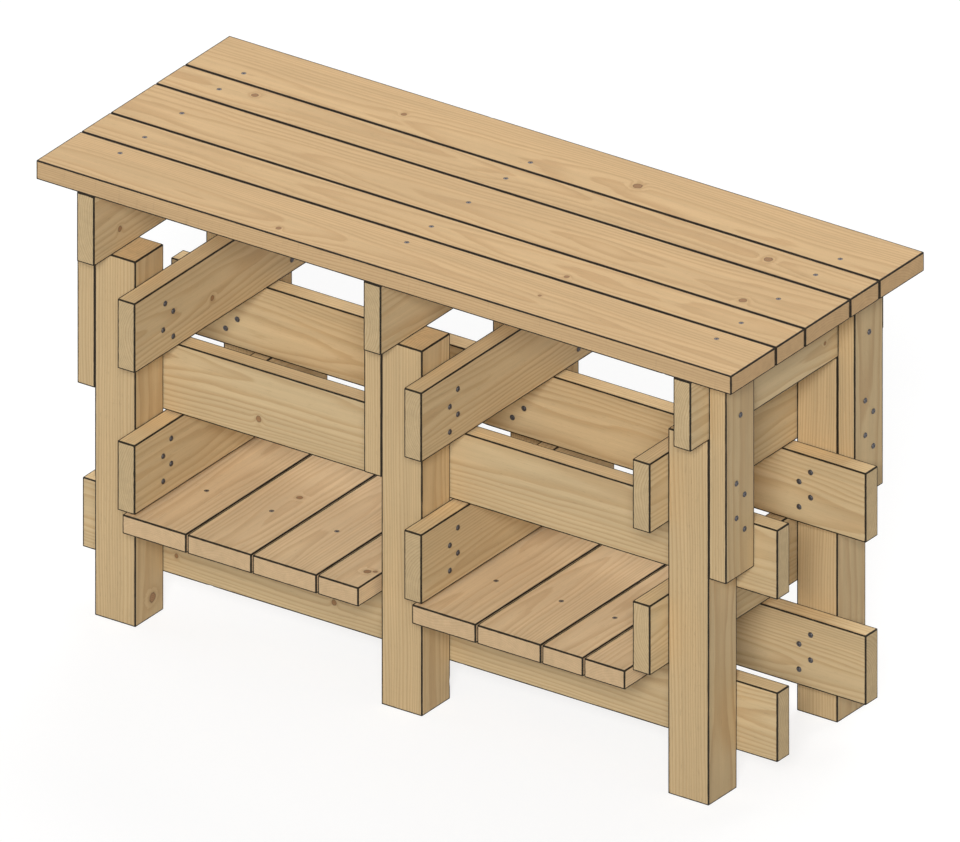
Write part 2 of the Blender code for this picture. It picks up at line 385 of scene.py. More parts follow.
def dents(board):
    """Small knocks along the long arrises: (u, corner, length, depth)."""
    half_u = board.half[0]
    reach = half_u - DENT_CLEARANCE
    result = []
    for _ in range(round(2 * half_u / DENT_SPACING)):
        u = board.chance.uniform(-reach, reach)
        corner = board.chance.randrange(4)
        length = board.chance.uniform(*DENT_LENGTH)
        depth = board.chance.uniform(*DENT_DEPTH)
        if all(abs(u - other) > DENT_CLEARANCE for other, *_ in [*board.holes, *result]):
            result.append((u, corner, length, depth))
    return result


def stations(board, knocks):
    """Where the section is repeated along the grain: (u, inset, dark, sawn)."""
    half_u = board.half[0]
    inner = half_u - END_CHAMFER
    pairs = [(u - HOLE_CELL, u + HOLE_CELL) for u, _ in board.holes]
    between = places(ARRIS_FADE - inner, inner - ARRIS_FADE, STATION_STEP, pairs)
    for u, _, length, _ in knocks:
        between = [spot for spot in between if abs(spot - u) > length * DENT_REACH]
        between += [u + length * share for share in DENT_STATIONS]
    rows = [(-half_u, END_CHAMFER, 1.0, 1.0), (-inner, 0.0, 1.0, 0.0)]
    rows += [(u, 0.0, 0.0, 0.0) for u in sorted(between)]
    return rows + [(inner, 0.0, 1.0, 0.0), (half_u, END_CHAMFER, 1.0, 1.0)]


def surface_point(board, spot, row, knocks, start):
    """Adds the point of the section at a station, with the slight hollows of a dried board and its dents."""
    v, w, out_v, out_w, dark, corner = spot
    u, inset, end_dark, sawn = row
    _, half_v, half_w = board.half
    place = Vector((u * HOLLOWS_ALONG + start, v * HOLLOWS_ACROSS, w * HOLLOWS_ACROSS))
    sink = HOLLOW * (0.5 + 0.5 * noise.noise(place))
    for knock_u, knock_corner, length, depth in knocks:
        if dark and corner % 4 == knock_corner:
            sink += depth * math.exp(-(((u - knock_u) / length) ** 2))
    v = (v - out_v * sink) * (half_v - inset) / half_v
    w = (w - out_w * sink) * (half_w - inset) / half_w
    narrow = 0.5 * (1 - math.cos(math.pi * abs(out_v)))
    return board.add_point(u, v, w, max(dark, end_dark), sawn, narrow)


def hole_cell(hole, rows, ring):
    """The station and the place on the outline where a hole's cell starts."""
    u, v = hole
    row = min(range(len(rows)), key=lambda index: abs(rows[index][0] - (u - HOLE_CELL)))
    upper = [index for index, (_, _, _, out_w, _, _) in enumerate(ring) if out_w > NEARLY_FLAT]
    return row, min(upper, key=lambda index: abs(ring[index][0] - (v + HOLE_CELL)))


def add_hole(board, hole, corners):
    """A countersunk hole in the cell between four corner points, joined to them by fans.

    Its profile has rings of (radius, depth, dark), from the face down.
    """
    u, v = hole
    top = board.half[2]
    seat = FLAT_HEAD_SINK + FLAT_HEAD_RIM
    cone = FLAT_HEAD_RADIUS - SHANK_RADIUS
    # The hole's walls are near-black: painted shade in the hole, fading out in a ring round its mouth
    profile = (
        (FLAT_HEAD_RADIUS + HOLE_DARK_FADE, 0.0, 0.0),
        (FLAT_HEAD_RADIUS + HOLE_DARK_FADE / 2, 0.0, HOLE_FADE_DARKNESS),
        (FLAT_HEAD_RADIUS + HEAD_GAP, HOLE_BEVEL, 1.0),
        (FLAT_HEAD_RADIUS + HEAD_GAP, seat, 1.0),
        (SHANK_RADIUS + HEAD_GAP, seat + cone, 1.0),
        (SHANK_RADIUS + HEAD_GAP, HOLE_DEPTH, 1.0),
    )
    rings = []
    for radius, depth, dark in profile:
        ring = []
        for side in range(HOLE_SIDES):
            turn = 2 * math.pi * side / HOLE_SIDES + FIRST_CORNER_TURN
            place = (u + radius * math.cos(turn), v - radius * math.sin(turn), top - depth)
            ring.append(board.add_point(*place, dark))
        rings.append(ring)
    for outer, inner in zip(rings, rings[1:]):
        for side in range(HOLE_SIDES):
            after = (side + 1) % HOLE_SIDES
            board.faces.append((outer[side], outer[after], inner[after], inner[side]))
    board.faces.append(tuple(rings[-1]))
    mouth = rings[0]
    quarter = HOLE_SIDES // 4
    for number, corner in enumerate(corners):
        for side in range(-quarter // 2, quarter // 2):
            first = number * quarter + side
            board.faces.append((corner, mouth[first % HOLE_SIDES], mouth[(first + 1) % HOLE_SIDES]))
        between = mouth[(number * quarter + quarter // 2) % HOLE_SIDES]
        board.faces.append((corner, between, corners[(number + 1) % 4]))


def add_end(board, u, ring, rim):
    """A sawn end within its rim of points: a band where the arris's dark fades, and the flat inside it."""
    _, half_v, half_w = board.half
    inset = END_CHAMFER + ARRIS_FADE
    shrink_v = (half_v - inset) / half_v
    shrink_w = (half_w - inset) / half_w
    inner = [board.add_point(u, v * shrink_v, w * shrink_w, sawn=1.0) for v, w, *_ in ring]
    for spot in range(len(ring)):
        after = (spot + 1) % len(ring)
        board.faces.append((rim[spot], rim[after], inner[after], inner[spot]))
    board.faces.append(tuple(inner))


def add_skin(board):
    """The long faces, with their holes, and the two sawn ends."""
    knocks = dents(board)
    rows = stations(board, knocks)
    ring = section(board)
    start = board.chance.uniform(0, HOLLOW_STARTS)
    grid = [[surface_point(board, spot, row, knocks, start) for spot in ring] for row in rows]
    cells = {hole_cell(hole, rows, ring): hole for hole in board.holes}
    for row in range(len(rows) - 1):
        for spot in range(len(ring)):
            after = (spot + 1) % len(ring)
            corners = (grid[row][spot], grid[row + 1][spot], grid[row + 1][after], grid[row][after])
            if (row, spot) in cells:
                add_hole(board, cells[row, spot], corners)
            else:
                board.faces.append(corners)
    for row in (0, -1):
        add_end(board, rows[row][0], ring, grid[row])


def pith_place(board):
    """Where the middle of the tree lies from the middle of the board, across the grain."""
    _, half_v, half_w = board.half
    side = board.chance.choice((-1, 1))
    away = half_w + board.chance.uniform(*PITH_DISTANCE)
    return Vector((board.chance.uniform(-PITH_ASIDE, PITH_ASIDE) * 2 * half_v, side * away))


def knot_places(board, pith):
    """Branches out from the pith: (u, direction, radius as a share of the distance, or 0 for no knot)."""
    half_u, half_v, half_w = board.half
    reach_u, reach_v, reach_w = KNOT_REACH
    likely = 2 * half_u / KNOT_SPACING / KNOTS
    result = []
    for _ in range(KNOTS):
        u = board.chance.uniform(-reach_u, reach_u) * half_u
        v = board.chance.uniform(-reach_v, reach_v) * half_v
        w = board.chance.uniform(-reach_w, reach_w) * half_w
        target = Vector((v, w)) - pith
        slope = board.chance.uniform(*KNOT_RADIUS) / target.length
        near_screw = any(abs(u - place) < KNOT_CLEARANCE for place in board.screwed)
        if board.chance.random() > likely or near_screw:
            slope = 0.0
        result.append((u, math.atan2(target.y, target.x), slope))
    return result


def set_attribute(mesh, name, values):
    """Gives each point of a mesh three numbers, which the materials read by name."""
    layer = mesh.attributes.new(name, "FLOAT_VECTOR", "POINT")
    flat = [number for value in values for number in value]
    layer.data.foreach_set("vector", flat)


def finish_mesh(mesh, angle):
    """Turns all faces outward and smooths the edges that bend by less than the angle."""
    shape = bmesh.new()
    shape.from_mesh(mesh)
    bmesh.ops.recalc_face_normals(shape, faces=shape.faces)
    shape.to_mesh(mesh)
    shape.free()
    mesh.shade_smooth()
    mesh.set_sharp_from_angle(angle=angle)


def show(name, mesh, material, nodes=()):
    """Puts a finished piece on the bench, in place of the frame's own nodes where it stands for some."""
    piece = bpy.data.objects.new(name, mesh)
    bpy.context.scene.collection.objects.link(piece)
    mesh.materials.append(material)
    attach(piece, "root")
    if nodes:
        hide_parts(*nodes)
    return piece


def add_board(node, material, slot, holes=(), heads=(), tone_and_painted_light=0.0, painted_edge_light=0.0):
    """A board with its own cut of the tree: its grain's direction and start, its pith, knots and tone.

    Countersunk screws pass through the holes, and the heads of others lie on its faces. The tone and painted
    light is added to its own tone, and the painted edge light is what its narrow sides, or a post's front
    and
    back, add to that: each is painted light where it is above nought and painted shade where it is below.
    """
    board = Board(node, holes, heads)
    add_skin(board)
    pith = pith_place(board)
    knots = knot_places(board, pith)
    start = board.chance.uniform(-GRAIN_STARTS, GRAIN_STARTS)
    way = board.chance.choice((-1, 1))
    tone_and_painted_light += board.chance.uniform(-TONE_SPREAD, TONE_SPREAD)
    mesh = bpy.data.meshes.new(node)
    mesh.from_pydata([board.world(*point) for point in board.points], [], board.faces)
    set_attribute(mesh, "grain", [(start + way * u, v - pith.x, w - pith.y) for u, v, w in board.points])
    surface = [(dark, sawn, tone_and_painted_light + painted_edge_light * narrow) for dark, sawn, narrow in board.marks]
    set_attribute(mesh, "surface", surface)
    for number, (u, turn, slope) in enumerate(knots, 1):
        set_attribute(mesh, f"knot_{number}", [(start + way * u, turn, slope)] * len(board.points))
    finish_mesh(mesh, BOARD_SMOOTHING)
    show(f"{node}_lumber", mesh, material, [node])


class Recipe:
    """A material's nodes. The methods that make nodes take outputs and plain values alike."""

    def __init__(self, name):
        self.material = bpy.data.materials.new(name)
        self.material.use_nodes = True
        self.tree = self.material.node_tree
        self.shader = self.tree.nodes["Principled BSDF"]

    def feed(self, socket, value):
        if isinstance(value, bpy.types.NodeSocket):
            self.tree.links.new(value, socket)
        else:
            socket.default_value = value

    def shader_input(self, name, value):
        self.feed(self.shader.inputs[name], value)

    def node(self, kind, values=(), **settings):
        """A node with its settings, whose inputs are fed in order, or by name from a dictionary."""
        made = self.tree.nodes.new(kind)
        for key, value in settings.items():
            setattr(made, key, value)
        named = values.items() if isinstance(values, dict) else enumerate(values)
        for key, value in named:
            self.feed(made.inputs[key], value)
        return made

    def attribute(self, name):
        return self.node("ShaderNodeAttribute", attribute_name=name).outputs["Vector"]

    def parts(self, vector):
        return self.node("ShaderNodeSeparateXYZ", [vector]).outputs

    def joined(self, x, y, z):
        return self.node("ShaderNodeCombineXYZ", [x, y, z]).outputs[0]

    def maths(self, operation, *values):
        return self.node("ShaderNodeMath", values, operation=operation).outputs[0]

    def summed(self, start, *terms):
        """The start and, for each term, a value times its share."""
        for value, share in terms:
            start = self.maths("MULTIPLY_ADD", value, share, start)
        return start

    def vector(self, operation, *values):
        return self.node("ShaderNodeVectorMath", values, operation=operation).outputs["Vector"]

    def length(self, vector):
        return self.node("ShaderNodeVectorMath", [vector], operation="LENGTH").outputs["Value"]

    def scaled(self, vector, share):
        values = {"Vector": vector, "Scale": share}
        return self.node("ShaderNodeVectorMath", values, operation="SCALE").outputs["Vector"]

    def noise(self, vector, pitch, detail=2.0, roughness=0.5, output="Fac"):
        """Noise with a pitch of so many features to the metre along each axis."""
        values = {"Vector": self.vector("MULTIPLY", vector, pitch)}
        values.update({"Scale": 1.0, "Detail": detail, "Roughness": roughness})
        return self.node("ShaderNodeTexNoise", values).outputs[output]

    def ease(self, value, low, high, to_low=0.0, to_high=1.0):
        """A smooth step from to_low, where the value is at low, to to_high."""
        values = [value, low, high, to_low, to_high]
        return self.node("ShaderNodeMapRange", values, interpolation_type="SMOOTHSTEP").outputs[0]

    def fade(self, value, low, high, most=1.0):
        """A smooth step from the most, where the value is at low, to nothing."""
        return self.ease(value, low, high, most, 0.0)

    def spread(self, value, amount):
        """A factor that varies round 1 by the amount, as noise varies round a half."""
        return self.maths("MULTIPLY_ADD", value, 2 * amount, 1 - amount)

    def mix(self, factor, first, second):
        values = {"Factor_Float": factor, "A_Color": first, "B_Color": second}
        made = self.node("ShaderNodeMix", data_type="RGBA")
        for socket in made.inputs:
            if socket.identifier in values:
                self.feed(socket, values[socket.identifier])
        return next(socket for socket in made.outputs if socket.identifier == "Result_Color")

    def bump(self, height, distance):
        return self.node("ShaderNodeBump", {"Height": height, "Distance": distance}).outputs[0]


def knot_nodes(recipe, grain, name):
    """How near a knot is, as a share of its radius there, and that radius."""
    x, y, z = recipe.parts(grain)
    place, turn, slope = recipe.parts(recipe.attribute(name))
    cosine = recipe.maths("COSINE", turn)
    sine = recipe.maths("SINE", turn)
    outward = recipe.maths("ADD", recipe.maths("MULTIPLY", y, cosine), recipe.maths("MULTIPLY", z, sine))
    aside = recipe.maths("SUBTRACT", recipe.maths("MULTIPLY", z, cosine), recipe.maths("MULTIPLY", y, sine))
    radius = recipe.maths("MAXIMUM", recipe.maths("MULTIPLY", outward, slope), KNOT_LEAST)
    away = recipe.length(recipe.joined(recipe.maths("SUBTRACT", x, place), aside, 0.0))
    ragged = recipe.spread(recipe.noise(grain, KNOT_RAGS), KNOT_RAGGED)
    share = recipe.maths("MULTIPLY", recipe.maths("DIVIDE", away, radius), ragged)
    return share, radius


def ring_nodes(recipe, grain, knots, ring_width):
    """The growth rings, as a pale early stretch that darkens to a late edge, bent round the knots."""
    x, y, z = recipe.parts(grain)
    drift = recipe.noise(grain, RING_DRIFTS, detail=3.0, output="Color")
    drift = recipe.scaled(recipe.vector("SUBTRACT", drift, (0.5, 0.5, 0.5)), RING_DRIFT)
    _, y, z = recipe.parts(recipe.vector("ADD", recipe.joined(0.0, y, z), drift))
    radius = recipe.summed(recipe.length(recipe.joined(0.0, y, z)), (x, RING_TAPER))
    for share, knot_radius in knots:
        fall = recipe.maths("MULTIPLY", recipe.maths("POWER", share, 2.0), KNOT_PUSH_FADE)
        push = recipe.maths("MULTIPLY", recipe.maths("EXPONENT", fall), knot_radius)
        radius = recipe.summed(radius, (push, KNOT_PUSH))
    shiver = recipe.maths("SUBTRACT", recipe.noise(grain, RING_SHIVERS), 0.5)
    radius = recipe.summed(radius, (shiver, RING_SHIVER))
    pace = recipe.noise(recipe.joined(radius, 0.0, 0.0), RING_PACES, detail=1.0)
    count = recipe.summed(recipe.maths("DIVIDE", radius, ring_width), (pace, RING_PACE))
    turn = recipe.maths("FRACT", count)
    return recipe.maths("MULTIPLY", recipe.ease(turn, *LATE_COMES), recipe.fade(turn, *LATE_GOES))


def scratch_nodes(recipe, grain, scuffs):
    """Thin stray scratches that run at an angle to the grain."""
    lines = []
    for turn in SCRATCH_TURNS:
        values = {"Vector": grain, "Rotation": Euler((turn, turn, turn))}
        turned_grain = recipe.node("ShaderNodeMapping", values).outputs[0]
        lines.append(recipe.ease(recipe.noise(turned_grain, SCRATCHES, detail=1.0), *SCRATCH_RANGE))
    return recipe.maths("MULTIPLY", recipe.maths("MAXIMUM", *lines), scuffs)


def with_knots(recipe, surface, knots, late):
    """The surface's colour with its knots, each with rings, a rim and a halo, and where their bodies are."""
    bodies = []
    for share, _ in knots:
        body = recipe.fade(share, *KNOT_BODY)
        inside = recipe.ease(share, *KNOT_RIM_COMES)
        rim = recipe.maths("MULTIPLY", inside, recipe.fade(share, *KNOT_RIM_GOES))
        halo = recipe.fade(share, *KNOT_HALO, KNOT_HALO_DEPTH)
        eye = recipe.maths("SINE", recipe.maths("MULTIPLY", share, KNOT_RINGS))
        core = recipe.mix(recipe.maths("MULTIPLY_ADD", eye, 0.5, 0.5), KNOT_PALE, KNOT_DARK)
        surface = recipe.mix(halo, surface, late)
        surface = recipe.mix(recipe.maths("MULTIPLY", body, KNOT_BODY_DEPTH), surface, core)
        surface = recipe.mix(recipe.maths("MULTIPLY", rim, KNOT_RIM_DEPTH), surface, KNOT_RIM)
        bodies.append(body)
    return surface, recipe.maths("MAXIMUM", *bodies)


def wood_material(name, early, late, ring_width, ring_depth, end_depth, end_grain_and_painted_light, scuffs):
    """Planed softwood, with colour, roughness and relief from one set of rings, fibres, knots and wear.

    The ring depth is how far the late parts of rings take on the late colour, and the end depth how far the
    sawn ends do. The end grain and painted light is what the sawn ends add to their brightness: the darker
    end grain where it is below nought, and painted light where it is above. Scuffs is how far scratches
    show.
    """
    recipe = Recipe(name)
    grain = recipe.attribute("grain")
    dark, sawn, tone_and_painted_light = recipe.parts(recipe.attribute("surface"))
    knots = [knot_nodes(recipe, grain, f"knot_{number}") for number in range(1, KNOTS + 1)]
    rings = ring_nodes(recipe, grain, knots, ring_width)
    scratches = scratch_nodes(recipe, grain, scuffs)
    blotch = recipe.noise(grain, BLOTCHES, detail=3.0)
    fibre = recipe.noise(grain, FIBRES, detail=3.0, roughness=0.6)
    streak = recipe.noise(grain, STREAKS)
    fleck = recipe.ease(recipe.noise(grain, FLECKS, detail=0.0), *FLECK_RANGE)
    saw_marks = recipe.maths("MULTIPLY", recipe.noise(grain, SAW_MARKS, detail=1.0), sawn)
    # Where the arrises and holes go near-black: painted outlines, and painted shade in the gaps and holes
    painted_outline_and_shade = recipe.ease(recipe.summed(dark, (recipe.noise(grain, PATCHES), ARRIS_PATCH)), *ARRIS_RANGE)

    depth = recipe.maths("MULTIPLY", recipe.spread(blotch, RING_SPREAD), ring_depth)
    surface = recipe.mix(recipe.maths("MULTIPLY", rings, depth), early, late)
    surface = recipe.mix(recipe.maths("MULTIPLY", sawn, end_depth), surface, late)
    shade = recipe.spread(blotch, BLOTCH_SHADE)
    for feature, amount in ((streak, STREAK_SHADE), (fibre, FIBRE_SHADE)):
        shade = recipe.maths("MULTIPLY", shade, recipe.spread(feature, amount))
    # The tone carries painted light and shade on some sides. The sawn ends are darker as end grain, and
    # lighter, as painted light, where the end grain and painted light is above nought
    for term in ((tone_and_painted_light, TONE_SHADE), (fleck, FLECK_SHADE), (sawn, end_grain_and_painted_light)):
        shade = recipe.maths("MULTIPLY", shade, recipe.summed(1.0, term))
    surface = recipe.scaled(surface, shade)
    surface, on_knot = with_knots(recipe, surface, knots, late)
    surface = recipe.scaled(surface, recipe.summed(1.0, (scratches, SCRATCH_SHADE)))
    # Painted dark outlines and painted shade on the arrises and in the holes
    surface = recipe.mix(recipe.maths("MULTIPLY", painted_outline_and_shade, ARRIS_DARKNESS), surface, ARRIS_COLOUR)
    recipe.shader_input("Base Color", surface)

    rough = recipe.summed(WOOD_ROUGHNESS, (fibre, FIBRE_ROUGHNESS), (rings, RING_ROUGHNESS))
    recipe.shader_input("Roughness", recipe.summed(rough, (sawn, SAWN_ROUGHNESS), (on_knot, KNOT_ROUGHNESS)))
    height = recipe.summed(fibre, (rings, RING_HEIGHT), (saw_marks, SAW_MARK_HEIGHT))
    height = recipe.summed(height, (fleck, FLECK_HEIGHT), (scratches, SCRATCH_HEIGHT))
    recipe.shader_input("Normal", recipe.bump(height, WOOD_RELIEF))
    recipe.shader_input("Specular IOR Level", WOOD_SPECULAR)
    return recipe.material


def steel_material():
    """Dark phosphated steel, with a mottled coat that is rubbed bright on the rims and in the drive."""
    recipe = Recipe("dark_steel")
    place = recipe.node("ShaderNodeTexCoord").outputs["Object"]
    worn, _, _ = recipe.parts(recipe.attribute("worn"))
    mottle = recipe.noise(place, MOTTLES, detail=3.0)
    grit = recipe.noise(place, GRITS)
    rubbed = recipe.ease(recipe.summed(worn, (mottle, MOTTLE_RUB)), *RUB_RANGE)
    surface = recipe.mix(rubbed, recipe.mix(mottle, COAT_DARK, COAT_PALE), BARE_STEEL)
    recipe.shader_input("Base Color", recipe.scaled(surface, recipe.spread(grit, GRIT_SHADE)))
    rough = recipe.summed(STEEL_ROUGHNESS, (grit, GRIT_ROUGHNESS), (rubbed, RUBBED_ROUGHNESS))
    recipe.shader_input("Roughness", rough)
    recipe.shader_input("Normal", recipe.bump(grit, GRIT_RELIEF))
    recipe.shader_input("Metallic", STEEL_METALLIC)
    return recipe.material


# A screw's profile is a list of rings from its tip up: (radius, lobe, height, worn). The lobe is how far the
# radius swings for the drive, and worn is how far the coat is rubbed off, with 1 for a bright edge.


def drive_rings(top):
    """The six-lobe recess in a head, down to its floor."""
    return [
        (DRIVE_RADIUS + DRIVE_BEVEL, DRIVE_LOBE, top, 1.0),
        (DRIVE_RADIUS, DRIVE_LOBE, top - DRIVE_BEVEL / 2, 0.8),
        (DRIVE_RADIUS * DRIVE_TAPER, DRIVE_LOBE, top - DRIVE_DEPTH, 0.0),
        (0.0, 0.0, top - DRIVE_DEPTH * DRIVE_POINT, 0.0),
    ]


def shank_rings(length):
    """The tip and the start of the shank, with the screw's length from zero down."""
    return [(0.0, 0.0, -length, 0.0), (SHANK_RADIUS, 0.0, TIP_LENGTH - length, 0.0)]


def flat_head_profile(length):
    """A countersunk screw, with its head just under the board's face at zero."""
    top = -FLAT_HEAD_SINK
    seat = top - FLAT_HEAD_RIM
    neck = seat - (FLAT_HEAD_RADIUS - SHANK_RADIUS)
    return [
        *shank_rings(length),
        (SHANK_RADIUS, 0.0, neck, 0.0),
        (FLAT_HEAD_RADIUS - FLAT_HEAD_SEAT_BEVEL, 0.0, seat, 0.0),
        (FLAT_HEAD_RADIUS, 0.0, seat + FLAT_HEAD_SEAT_BEVEL, 0.4),
        (FLAT_HEAD_RADIUS, 0.0, top - FLAT_HEAD_TOP_BEVEL, 0.9),
        (FLAT_HEAD_RADIUS - FLAT_HEAD_TOP_BEVEL, 0.0, top, 0.9),
        (FLAT_HEAD_RADIUS - FLAT_HEAD_LAND, 0.0, top, 1.05),
        (DRIVE_RADIUS + DRIVE_LAND, 0.0, top, 1.05),
        *drive_rings(top),
    ]


def round_head_profile(length):
    """A screw whose low domed head, with its flat rim, stands on the face at zero."""
    rim_top = HEAD_GAP + ROUND_HEAD_RIM
    outer = ROUND_HEAD_RADIUS - DOME_INSET
    inner = DRIVE_RADIUS + DRIVE_LAND
    dome = []
    for step in range(DOME_STEPS + 1):
        bend = math.pi / 2 * step / DOME_STEPS
        reach = inner + (outer - inner) * math.cos(bend)
        height = HEAD_GAP + DOME_START + (ROUND_HEAD_HEIGHT - DOME_START) * math.sin(bend)
        dome.append((reach, 0.0, height, 0.3))
    return [
        *shank_rings(length),
        (SHANK_RADIUS, 0.0, HEAD_GAP, 0.0),
        (ROUND_HEAD_RADIUS - ROUND_HEAD_BEVEL, 0.0, HEAD_GAP, 0.0),
        (ROUND_HEAD_RADIUS, 0.0, HEAD_GAP + ROUND_HEAD_BEVEL, 0.2),
        (ROUND_HEAD_RADIUS, 0.0, rim_top - ROUND_HEAD_BEVEL, 0.2),
        (ROUND_HEAD_RADIUS - ROUND_HEAD_BEVEL, 0.0, rim_top, 0.4),
        *dome,
        *drive_rings(HEAD_GAP + ROUND_HEAD_HEIGHT),
    ]


def turned(profile, matrix, points, faces, worn):
    """Adds a solid turned round Z, moved by a matrix, to lists of points, faces and wear."""
    rings = []
    for radius, lobe, height, rubbed in profile:
        count = SCREW_SIDES if radius else 1
        ring = []
        for side in range(count):
            turn = 2 * math.pi * side / SCREW_SIDES
            reach = radius + lobe * math.cos(DRIVE_LOBES * turn)
            ring.append(len(points))
            points.append(matrix @ Vector((reach * math.cos(turn), reach * math.sin(turn), height)))
            worn.append((rubbed, 0.0, 0.0))
        rings.append(ring)
    for lower, upper in zip(rings, rings[1:]):
        for side in range(SCREW_SIDES):
            after = (side + 1) % SCREW_SIDES
            corners = [lower[side % len(lower)], lower[after % len(lower)]]
            corners += [upper[after % len(upper)], upper[side % len(upper)]]
            faces.append(tuple(dict.fromkeys(corners)))


def add_screws(name, spots, outward, profile, material, nodes=()):
    """A group of screws with their heads at the spots, each turned its own way about the way outward."""
    chance = random.Random(f"{SEED} {name}")
    centre = sum(spots, Vector()) / len(spots)
    points = []
    faces = []
    worn = []
    upright = outward.to_track_quat("Z", "Y").to_matrix().to_4x4()
    for spot in spots:
        spin = Matrix.Rotation(chance.uniform(0, 2 * math.pi), 4, "Z")
        turned(profile, Matrix.Translation(spot - centre) @ upright @ spin, points, faces, worn)
    mesh = bpy.data.meshes.new(name)
    mesh.from_pydata(points, [], faces)
    set_attribute(mesh, "worn", worn)
    finish_mesh(mesh, SCREW_SMOOTHING)
    piece = show(name, mesh, material, nodes)
    piece.location = centre


def top_spot(node):
    """The middle of a node's upper side."""
    low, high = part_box(node)
    return Vector(((low.x + high.x) / 2, (low.y + high.y) / 2, high.z))


def add_top(wood, steel):
    """The worktop's boards, each with a countersunk screw into every bearer."""
    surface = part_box("top_board_1")[1].z
    profile = flat_head_profile(TOP_SCREW_LENGTH)
    for number in TOP_BOARDS:
        spots = []
        for side, _ in FRAME_SIDES:
            node = f"top_screw_{side}_{number}"
            spot = top_spot(node)
            spot.z = surface
            spots.append(spot)
            add_screws(f"{node}_steel", [spot], Z_AXIS, profile, steel, [node])
        # The long edges of the worktop's boards are darker: painted shade
        add_board(f"top_board_{number}", wood, "worktop_wood", spots, painted_edge_light=TOP_EDGE_PAINTED_SHADE)


def shelf_spots(node):
    """A screw over the middle of each lower long rail, on the board's centre line."""
    spots = []
    for row, _ in ROW_SIDES:
        low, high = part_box(f"long_rail_{row}_lower")
        spot = top_spot(node)
        spot.y = (low.y + high.y) / 2
        spots.append(spot)
    return spots


def add_shelves(wood, steel):
    """The shelf boards of both bays, each with two countersunk screws."""
    profile = flat_head_profile(SIDE_SCREW_LENGTH)
    for side in SHELF_SIDES:
        for number in SHELF_BOARDS:
            node = f"shelf_board_{side}_{number}"
            spots = shelf_spots(node)
            add_board(node, wood, "shelf_wood", spots)
            add_screws(f"shelf_screws_{side}_{number}", spots, Z_AXIS, profile, steel)


def add_post(side, row, outward, wood, steel):
    """A leg and its splice, with the screws that join the splice to the leg and, above, to the bearer."""
    # The right frame's legs and splices are darker on the sides that face left and right: painted shade
    # where the key light falls on them
    painted_side_shade = {"tone_and_painted_light": OUTER_SIDE_PAINTED_SHADE, "painted_edge_light": -OUTER_SIDE_PAINTED_SHADE} if side == "right" else {}
    profile = round_head_profile(SIDE_SCREW_LENGTH)
    splice = f"splice_{side}_{row}"
    node = f"splice_screw_{side}_{row}"
    add_board(f"leg_{side}_{row}", wood, "leg_wood", **painted_side_shade)
    low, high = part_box(splice)
    face = high.x if outward > 0 else low.x
    spots = [Vector((face, low.y + y * INCH, low.z + z * INCH)) for y, z in SPLICE_PATTERN]
    add_screws(f"splice_screws_{side}_{row}", spots, X_AXIS * outward, profile, steel)
    low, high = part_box(node)
    upper = Vector((face, (low.y + high.y) / 2, (low.z + high.z) / 2))
    add_screws(f"{node}_steel", [upper], X_AXIS * outward, profile, steel, [node])
    add_board(splice, wood, "frame_wood", heads=[*spots, upper], **painted_side_shade)


def add_cross_rail(side, level, outward, wood, steel):
    """A cross rail on its frame's inner side, with the screws that join it to both legs."""
    profile = round_head_profile(SIDE_SCREW_LENGTH)
    rail = f"cross_rail_{side}_{level}"
    low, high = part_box(rail)
    face = low.x if outward > 0 else high.x
    heads = []
    for row, _ in ROW_SIDES:
        pattern = STRAY_PATTERN if (side, level, row) == STRAY_CROSSING else CROSS_PATTERNS[level]
        leg_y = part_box(f"leg_{side}_{row}")[0].y
        spots = [Vector((face, leg_y + y * INCH, low.z + z * INCH)) for y, z in pattern]
        add_screws(f"cross_rail_screws_{side}_{level}_{row}", spots, X_AXIS * -outward, profile, steel)
        heads += spots
    # The rail's tops and bottoms are lighter: painted light where the worktop shades them
    add_board(rail, wood, "frame_wood", heads=heads, painted_edge_light=RAIL_EDGE_PAINTED_LIGHT)


def add_frames(leg_wood, wood, steel):
    """The three frames, each with a bearer, two posts and two cross rails."""
    for side, outward in FRAME_SIDES:
        add_board(f"bearer_{side}", wood, "frame_wood")
        for row, _ in ROW_SIDES:
            add_post(side, row, outward, leg_wood, steel)
        for level in LEVELS:
            add_cross_rail(side, level, outward, wood, steel)


def add_long_rails(wood, steel):
    """The long rails, with the screws that join them to every leg of their row, from inside."""
    profile = round_head_profile(SIDE_SCREW_LENGTH)
    for row, inward in ROW_SIDES:
        for level in LEVELS:
            rail = f"long_rail_{row}_{level}"
            low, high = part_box(rail)
            face = high.y if inward > 0 else low.y
            heads = []
            for side, _ in FRAME_SIDES:
                leg_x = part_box(f"leg_{side}_{row}")[0].x
                spots = [Vector((leg_x + x * INCH, face, low.z + z * INCH)) for x, z in LONG_RAIL_PATTERN]
                add_screws(f"long_rail_screws_{row}_{level}_{side}", spots, Y_AXIS * inward, profile, steel)
                heads += spots
            # The rail's tops and bottoms are lighter: painted light where the worktop shades them
            add_board(rail, wood, "frame_wood", heads=heads, painted_edge_light=RAIL_EDGE_PAINTED_LIGHT)


def direction(azimuth, elevation):
    """The way from the bench to a place seen at an azimuth from the front towards the right, and up."""
    level = math.cos(elevation)
    return Vector((math.sin(azimuth) * level, -math.cos(azimuth) * level, math.sin(elevation)))


